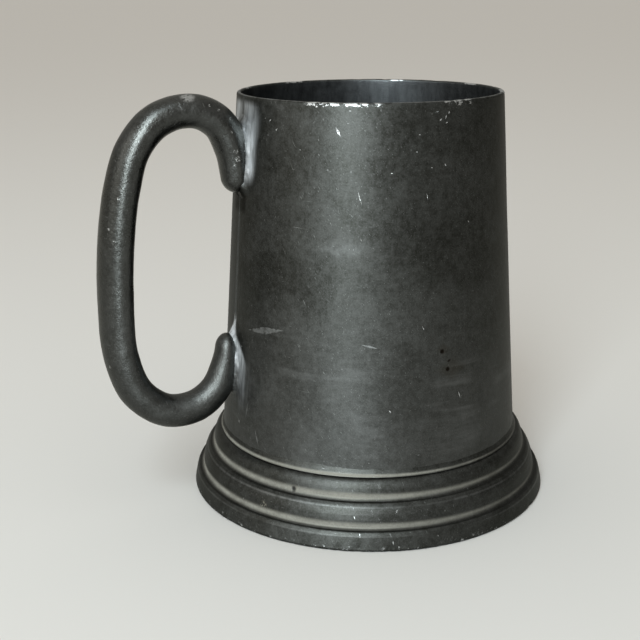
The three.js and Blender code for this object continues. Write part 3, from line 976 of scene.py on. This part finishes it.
def make_floor():
    mesh = bpy.data.meshes.new("floor")
    corners = [(FLOOR_SIZE * x, FLOOR_SIZE * y, 0) for x, y in ((-1, -1), (1, -1), (1, 1), (-1, 1))]
    mesh.from_pydata(corners, [], [(0, 1, 2, 3)])
    finish = bpy.data.materials.new("pale_floor")
    finish.use_nodes = True
    shader = finish.node_tree.nodes["Principled BSDF"]
    shader.inputs["Base Color"].default_value = FLOOR_COLOUR
    shader.inputs["Roughness"].default_value = 0.9
    shader.inputs["Specular IOR Level"].default_value = 0.1
    mesh.materials.append(finish)
    floor = bpy.data.objects.new("floor", mesh)
    bpy.context.scene.collection.objects.link(floor)


def direction(azimuth, elevation):
    """A unit vector: azimuth 0 towards -Y, 90 towards +X; elevation above the floor."""
    a, e = math.radians(azimuth), math.radians(elevation)
    return np.array((math.sin(a) * math.cos(e), -math.cos(a) * math.cos(e), math.sin(e)))


def softbox(name, azimuth, elevation, distance, width, height, radiance, colour, lights_matt):
    """A rectangular light that faces the tankard's middle."""
    data = bpy.data.lights.new(name, "AREA")
    data.shape = "RECTANGLE"
    data.size = width
    data.size_y = height
    data.energy = radiance * math.pi * width * height
    data.color = colour
    lamp = bpy.data.objects.new(name, data)
    bpy.context.scene.collection.objects.link(lamp)
    back = direction(azimuth, elevation)
    right = np.cross((0, 0, 1), back)
    right /= np.linalg.norm(right)
    up = np.cross(back, right)
    lamp.matrix_world = Matrix([
        (right[0], up[0], back[0], back[0] * distance),
        (right[1], up[1], back[1], back[1] * distance),
        (right[2], up[2], back[2], back[2] * distance + AIM_HEIGHT),
        (0, 0, 0, 1),
    ])
    lamp.visible_camera = False
    lamp.visible_diffuse = lights_matt


def sky_ramp(tree, source, low, high):
    """A value of the sky that goes from low to high as the source goes from 0 to 1."""
    ramp = tree.nodes.new("ShaderNodeMapRange")
    ramp.inputs["To Min"].default_value = low
    ramp.inputs["To Max"].default_value = high
    tree.links.new(source, ramp.inputs["Value"])
    return ramp.outputs[0]


def make_sky():
    """A soft sky, brighter overhead than at the horizon and dimmer towards +X."""
    world = bpy.data.worlds.new("studio")
    world.use_nodes = True
    tree = world.node_tree
    place = tree.nodes.new("ShaderNodeTexCoord")
    split = tree.nodes.new("ShaderNodeSeparateXYZ")
    tree.links.new(place.outputs["Generated"], split.inputs[0])
    product = tree.nodes.new("ShaderNodeMath")
    product.operation = "MULTIPLY"
    tree.links.new(sky_ramp(tree, split.outputs[2], HORIZON_GLOW, OVERHEAD_GLOW), product.inputs[0])
    tree.links.new(sky_ramp(tree, split.outputs[0], 1.0, RIGHT_SHADE), product.inputs[1])
    background = tree.nodes["Background"]
    tree.links.new(product.outputs[0], background.inputs["Strength"])
    background.inputs["Color"].default_value = SKY_COLOUR
    bpy.context.scene.world = world
    bpy.context.scene.view_settings.view_transform = "Standard"


def make_camera():
    data = bpy.data.cameras.new("camera")
    data.lens = LENS
    data.sensor_width = SENSOR
    camera = bpy.data.objects.new("camera", data)
    bpy.context.scene.collection.objects.link(camera)
    place = direction(VIEW_AZIMUTH, 0) * CAMERA_DISTANCE * MM
    place[2] = CAMERA_HEIGHT * MM
    turn = Matrix.Rotation(math.radians(CAMERA_TURN), 4, "Z")
    tip = Matrix.Rotation(math.radians(90 - CAMERA_DIP), 4, "X")
    roll = Matrix.Rotation(math.radians(CAMERA_ROLL), 4, "Z")
    camera.matrix_world = Matrix.Translation(place) @ turn @ tip @ roll
    bpy.context.scene.camera = camera


make_floor()
make_sky()
for name, turn, *rest in SOFTBOXES:
    softbox(name, VIEW_AZIMUTH + turn, *rest)
make_camera()
